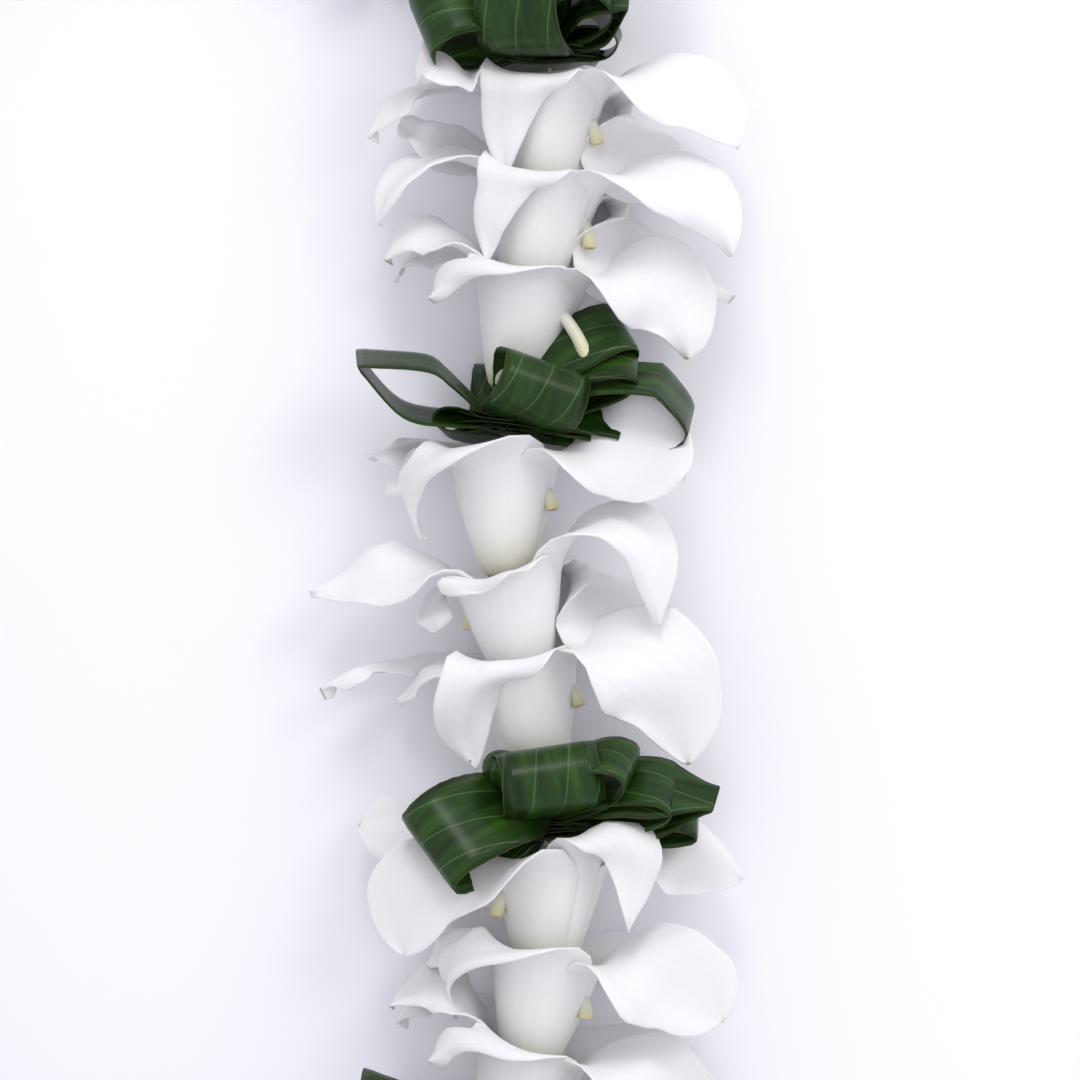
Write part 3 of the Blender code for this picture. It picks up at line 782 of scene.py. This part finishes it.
def make_thread(name, knot_s, finish):
    """The tied thread: its run, a knot shaped as a trefoil, and the two cut tails.

    The trefoil is (sin t + 2 sin 2t, cos t - 2 cos 2t, -sin 3t), which reaches 3 from its middle.
    """
    rings = round(LOOP_LENGTH / PLY_TURN) * PLY_RINGS
    run = np.array([thread_point(s) for s in knot_s + np.arange(rings) * LOOP_LENGTH / rings])
    place = station(knot_s, knot_s + KNOT_TAIL)
    origin, outward, up, along = place
    t = np.linspace(0, 2 * np.pi, KNOT_RINGS, endpoint=False)
    trefoil = np.stack(
        [np.sin(t) + 2 * np.sin(2 * t), np.cos(t) - 2 * np.cos(2 * t), -np.sin(3 * t)], axis=-1
    )
    trefoil = in_world(trefoil * (KNOT_RADIUS - 0.5 * THREAD_RADIUS) / 3, place)
    parts = [(*two_ply(run, True), 0), (*two_ply(trefoil, True), 0)]
    share = np.linspace(0, 1, 2 * PLY_RINGS)[:, None]
    for side in (up, -outward):
        lean = 0.8 * along + 0.6 * side
        tail = origin + KNOT_TAIL * share * lean + 0.5 * np.sin(3 * share) * outward
        parts.append((*two_ply(tail, False), 0))
    return mesh_piece(name, parts, [finish])


# --- Materials ----------------------------------------------------------------------------------


def linear(code):
    """The linear colour of an sRGB hex value."""
    parts = [int(code[i : i + 2], 16) / 255 for i in (1, 3, 5)]
    return (*(p / 12.92 if p <= 0.04045 else ((p + 0.055) / 1.055) ** 2.4 for p in parts), 1.0)


def new_material(name, colour, roughness, **settings):
    """A material and its Principled shader, with the given sockets set."""
    made = bpy.data.materials.new(name)
    made.use_nodes = True
    shader = made.node_tree.nodes["Principled BSDF"]
    shader.inputs["Base Color"].default_value = linear(colour)
    shader.inputs["Roughness"].default_value = roughness
    for socket, value in settings.items():
        shader.inputs[socket.replace("_", " ")].default_value = value
    return made, shader


def add(made, kind, links=(), **settings):
    """Adds a node and links outputs to its inputs.

    A setting is one of its attributes or, after in_, the name or number of an input socket.
    """
    node = made.node_tree.nodes.new(kind)
    for key, value in settings.items():
        if key.startswith("in_"):
            socket = key[3:]
            socket = int(socket) if socket.isdigit() else socket.replace("_", " ")
            node.inputs[socket].default_value = value
        else:
            setattr(node, key, value)
    for socket, source in links:
        made.node_tree.links.new(source, node.inputs[socket])
    return node


def ramp(made, source, *stops):
    """A colour ramp of (position, hex colour) stops."""
    node = add(made, "ShaderNodeValToRGB", [("Fac", source)])
    while len(node.color_ramp.elements) < len(stops):
        node.color_ramp.elements.new(1.0)
    for element, (position, colour) in zip(node.color_ramp.elements, stops):
        element.position, element.color = position, linear(colour)
    return node


def orchid_petal():
    """Fresh white orchid petal: waxy cells that scatter light within, cream-green at the base."""
    made, shader = new_material(
        "orchid_petal", "#efeeee", 0.5, IOR=1.4, Subsurface_Weight=0.12, Subsurface_Scale=0.0008,
        Subsurface_Radius=(1.0, 0.95, 0.9), Sheen_Weight=0.15, Sheen_Roughness=0.4,
    )
    grain = add(made, "ShaderNodeAttribute", attribute_name=GRAIN)
    parts = add(made, "ShaderNodeSeparateXYZ", [("Vector", grain.outputs["Vector"])])
    across, share, seed = parts.outputs
    base = ramp(
        made, share, (0.0, "#e4e3c4"), (0.08, "#ecead9"), (0.2, "#efeeea"), (0.5, "#f0efef"), (1.0, "#ecebec")
    )
    veins = add(made, "ShaderNodeCombineXYZ", [("X", across), ("Y", share), ("Z", seed)])
    # Soft streaks run from base to tip, about ten across a tepal.
    stretched = add(made, "ShaderNodeMapping", [("Vector", veins.outputs[0])], in_Scale=(5.0, 1.2, 3.0))
    streaks = add(made, "ShaderNodeTexNoise", [("Vector", stretched.outputs[0])], in_Scale=2.2, in_Detail=3.0)
    shade = ramp(made, streaks.outputs["Fac"], (0.3, "#f3f1f4"), (0.7, "#ffffff"))
    streaked = add(made, "ShaderNodeMix", data_type="RGBA", blend_type="MULTIPLY", in_0=0.25)
    made.node_tree.links.new(base.outputs["Color"], streaked.inputs[6])
    made.node_tree.links.new(shade.outputs["Color"], streaked.inputs[7])
    # Tips bruise brown where they have dried, on some petals.
    tips = add(made, "ShaderNodeMapRange", [("Value", share)], in_1=0.988, in_2=1.0)
    some = add(made, "ShaderNodeMath", [(0, seed)], operation="GREATER_THAN", in_1=4.2)
    bruised = add(made, "ShaderNodeMath", [(0, tips.outputs[0]), (1, some.outputs[0])], operation="MULTIPLY")
    tipped = add(made, "ShaderNodeMix", [(0, bruised.outputs[0]), (6, streaked.outputs[2])], data_type="RGBA")
    tipped.inputs[7].default_value = linear("#b59a6c")
    # Pollen specks are 0.6 mm across, one in a fifth of the cells 14 mm wide.
    where = add(made, "ShaderNodeTexCoord")
    specks = add(made, "ShaderNodeTexVoronoi", [("Vector", where.outputs["Object"])], in_Scale=70.0)
    near = add(made, "ShaderNodeMath", [(0, specks.outputs["Distance"])], operation="LESS_THAN", in_1=0.022)
    few = add(made, "ShaderNodeSeparateColor", [(0, specks.outputs["Color"])])
    rare = add(made, "ShaderNodeMath", [(0, few.outputs[0])], operation="LESS_THAN", in_1=0.2)
    speck = add(made, "ShaderNodeMath", [(0, near.outputs[0]), (1, rare.outputs[0])], operation="MULTIPLY")
    finished = add(made, "ShaderNodeMix", [(0, speck.outputs[0]), (6, tipped.outputs[2])], data_type="RGBA")
    finished.inputs[7].default_value = linear("#8c8880")
    made.node_tree.links.new(finished.outputs[2], shader.inputs["Base Color"])
    height = streaks.outputs["Fac"]
    bump = add(made, "ShaderNodeBump", [("Height", height)], in_Strength=0.05, in_Distance=0.0006)
    made.node_tree.links.new(bump.outputs["Normal"], shader.inputs["Normal"])
    return made


def flower_stalk():
    """Cut orchid stalk: smooth pale green skin, browned where it was cut."""
    made, shader = new_material(
        "flower_stalk", "#dfe3a8", 0.4, IOR=1.4, Subsurface_Weight=0.15, Subsurface_Scale=0.001
    )
    grain = add(made, "ShaderNodeAttribute", attribute_name=GRAIN)
    parts = add(made, "ShaderNodeSeparateXYZ", [("Vector", grain.outputs["Vector"])])
    share = parts.outputs[1]
    tint = ramp(made, share, (0.0, "#e4e3d8"), (0.5, "#dfdec2"), (0.86, "#d8d2a0"), (0.94, "#a58a5c"))
    made.node_tree.links.new(tint.outputs["Color"], shader.inputs["Base Color"])
    return made


def folded_leaf():
    """Fresh leaf strip, smooth and waxy, so that it shines where it rolls.

    Fine veins run along it 0.6 mm apart, with pale ribs 6.5 mm apart, and its torn edges are dry.
    """
    made, shader = new_material("folded_leaf", "#24431f", 0.3, IOR=1.42, Specular_IOR_Level=0.32)
    grain = add(made, "ShaderNodeAttribute", attribute_name=GRAIN)
    parts = add(made, "ShaderNodeSeparateXYZ", [("Vector", grain.outputs["Vector"])])
    lateral, length, edge = parts.outputs
    slow = add(made, "ShaderNodeMapping", [("Vector", grain.outputs["Vector"])], in_Scale=(0.35, 0.05, 0.0))
    blotch = add(made, "ShaderNodeTexNoise", [("Vector", slow.outputs[0])], in_Scale=1.0, in_Detail=3.0)
    green = ramp(made, blotch.outputs["Fac"], (0.3, "#15290b"), (0.52, "#223d12"), (0.82, "#395b20"))
    vein_spacing, rib_spacing, rib_drift = 0.62, 6.5, 0.22
    fine = add(made, "ShaderNodeMath", [(0, lateral)], operation="MULTIPLY", in_1=2 * math.pi / vein_spacing)
    wave = add(made, "ShaderNodeMath", [(0, fine.outputs[0])], operation="SINE")
    lined = add(
        made, "ShaderNodeMapRange", [("Value", wave.outputs[0])], in_1=-1.0, in_2=1.0, in_3=0.95, in_4=1.05
    )
    veined = add(made, "ShaderNodeMix", data_type="RGBA", blend_type="MULTIPLY", in_0=1.0)
    made.node_tree.links.new(green.outputs["Color"], veined.inputs[6])
    made.node_tree.links.new(lined.outputs[0], veined.inputs[7])
    # Pale ribs run nearly along the strip and drift across it.
    drift = add(made, "ShaderNodeMath", [(0, length), (2, lateral)], operation="MULTIPLY_ADD", in_1=rib_drift)
    turns = add(made, "ShaderNodeMath", [(0, drift.outputs[0])], operation="DIVIDE", in_1=rib_spacing)
    spread = add(made, "ShaderNodeMath", [(0, turns.outputs[0])], operation="PINGPONG", in_1=0.5)
    rib = add(
        made, "ShaderNodeMapRange", [("Value", spread.outputs[0])], in_1=0.008, in_2=0.035, in_3=0.4, in_4=0.0
    )
    ribbed = add(made, "ShaderNodeMix", [(0, rib.outputs[0]), (6, veined.outputs[2])], data_type="RGBA")
    ribbed.inputs[7].default_value = linear("#648250")
    rim = add(made, "ShaderNodeMapRange", [("Value", edge)], in_1=0.96, in_2=0.995, in_3=0.0, in_4=0.5)
    edged = add(made, "ShaderNodeMix", [(0, rim.outputs[0]), (6, ribbed.outputs[2])], data_type="RGBA")
    edged.inputs[7].default_value = linear("#7a6f4a")
    made.node_tree.links.new(edged.outputs[2], shader.inputs["Base Color"])
    height = add(made, "ShaderNodeMath", [(0, wave.outputs[0]), (1, rib.outputs[0])], operation="ADD")
    bump = add(made, "ShaderNodeBump", [("Height", height.outputs[0])], in_Strength=0.05, in_Distance=0.00012)
    made.node_tree.links.new(bump.outputs["Normal"], shader.inputs["Normal"])
    return made


def cotton_thread():
    """Twisted cotton thread: matt, with fibres across its plies, 0.5 mm apart so that they show."""
    made, shader = new_material("cotton_thread", "#e6e0cf", 0.85, IOR=1.5, Sheen_Weight=0.3)
    where = add(made, "ShaderNodeTexCoord")
    fibres = add(
        made, "ShaderNodeTexWave", [("Vector", where.outputs["Object"])], bands_direction="DIAGONAL",
        in_Scale=780.0, in_Distortion=1.0,
    )
    tint = ramp(made, fibres.outputs["Fac"], (0.0, "#cfc7b0"), (0.6, "#ece7d8"))
    made.node_tree.links.new(tint.outputs["Color"], shader.inputs["Base Color"])
    height = fibres.outputs["Fac"]
    bump = add(made, "ShaderNodeBump", [("Height", height)], in_Strength=0.5, in_Distance=0.0002)
    made.node_tree.links.new(bump.outputs["Normal"], shader.inputs["Normal"])
    return made


# --- The lei ------------------------------------------------------------------------------------

# Each kind of section: its length, its rosette, its flowers and how far their rims lie from its start.
SECTIONS = (
    (SECTION_LENGTHS[0], LONG_SECTION_ROSETTE, LONG_SECTION_FLOWERS, (35.5, 54.0, 76.0)),
    (SECTION_LENGTHS[1], SHORT_SECTION_ROSETTE, SHORT_SECTION_FLOWERS, (32.0, 50.5, 69.5)),
)
TOP_ROSETTE_NUMBER = 3
ROSETTE_COUNT = 2 * SECTION_PAIRS


def place_piece(piece, node):
    """Hangs a piece under the root body in place of its solid, and hides that solid."""
    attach(piece, "root")
    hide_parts(node)


def make_lei():
    """Strings the sections round the loop, each piece in its solid's place.

    The first pair of sections and the last are as patterned, and those between vary from them.
    """
    rng = np.random.default_rng(12)
    petals = [orchid_petal(), flower_stalk()]
    leaf = folded_leaf()
    s, flower_number, rosette_number = FIRST_ROSETTE_Y, 0, 0
    for pair in range(SECTION_PAIRS):
        amount = 0.0 if pair in (0, SECTION_PAIRS - 1) else 1.0
        for length, loops, flowers, rims in SECTIONS:
            rosette_number += 1
            if rosette_number == TOP_ROSETTE_NUMBER:
                loops = TOP_ROSETTE
            if rosette_number == ROSETTE_COUNT:
                flowers = LAST_SECTION_FLOWERS
            node = f"leaf_rosette_{rosette_number:02d}"
            rosette = make_rosette(f"folded_{node}", varied_loops(loops, rng, amount), s, rng, leaf)
            place_piece(rosette, node)
            for flower, rim in zip(flowers, rims):
                flower_number += 1
                node = f"flower_{flower_number:02d}"
                base_s = s + rim - FLOWER_LENGTH
                orchid = make_flower(f"orchid_{node}", varied(flower, rng, amount), base_s, rng, petals)
                place_piece(orchid, node)
            s += length
    knot_s = s - SECTIONS[-1][0] + SECTIONS[-1][3][-1] - KNOT_BELOW_RIM
    place_piece(make_thread("cotton_thread", knot_s, cotton_thread()), "thread")


def make_studio():
    """A white table, a key light from the far right, a window beyond, and the camera overhead.

    The camera looks straight down on the right-hand run. Lengths are in metres.
    """
    scene = bpy.context.scene
    mesh = bpy.data.meshes.new("table")
    half = 3.0
    corners = [(-half, -half, 0), (half, -half, 0), (half, half, 0), (-half, half, 0)]
    mesh.from_pydata(corners, [], [(0, 1, 2, 3)])
    table = bpy.data.objects.new("table", mesh)
    scene.collection.objects.link(table)
    made, _ = new_material("white_table", "#f8f8fd", 0.8)
    mesh.materials.append(made)

    world = bpy.data.worlds.new("studio")
    scene.world = world
    world.use_nodes = True
    background = world.node_tree.nodes["Background"]
    background.inputs["Color"].default_value = linear("#f8f8ff")
    background.inputs["Strength"].default_value = 0.92

    target = np.array([0.08, 0.0, 0.0])

    def disk_light(name, place, size, power, colour):
        light = bpy.data.lights.new(name, "AREA")
        light.shape = "DISK"
        light.size = size
        light.energy = power
        light.color = linear(colour)[:3]
        lamp = bpy.data.objects.new(name, light)
        lamp.location = place
        away = np.asarray(place) - target
        tilt = math.atan2(math.hypot(away[0], away[1]), away[2])
        lamp.rotation_euler = (tilt, 0.0, math.atan2(away[0], -away[1]))
        scene.collection.objects.link(lamp)

    disk_light("key", (0.95, 0.75, 1.05), 0.7, 4.2, "#fffdf8")
    disk_light("window", (0.05, 1.0, 0.85), 0.4, 3.4, "#ffffff")

    lens = bpy.data.cameras.new("camera")
    lens.lens = 110.0
    lens.sensor_width = 36.0
    camera = bpy.data.objects.new("camera", lens)
    view_width, view_level, view_x = 0.216, 0.018, 0.0866
    camera.location = (view_x, 0.0, view_level + view_width * lens.lens / lens.sensor_width)
    scene.collection.objects.link(camera)
    scene.camera = camera
    scene.view_settings.view_transform = "Standard"


make_lei()
make_studio()
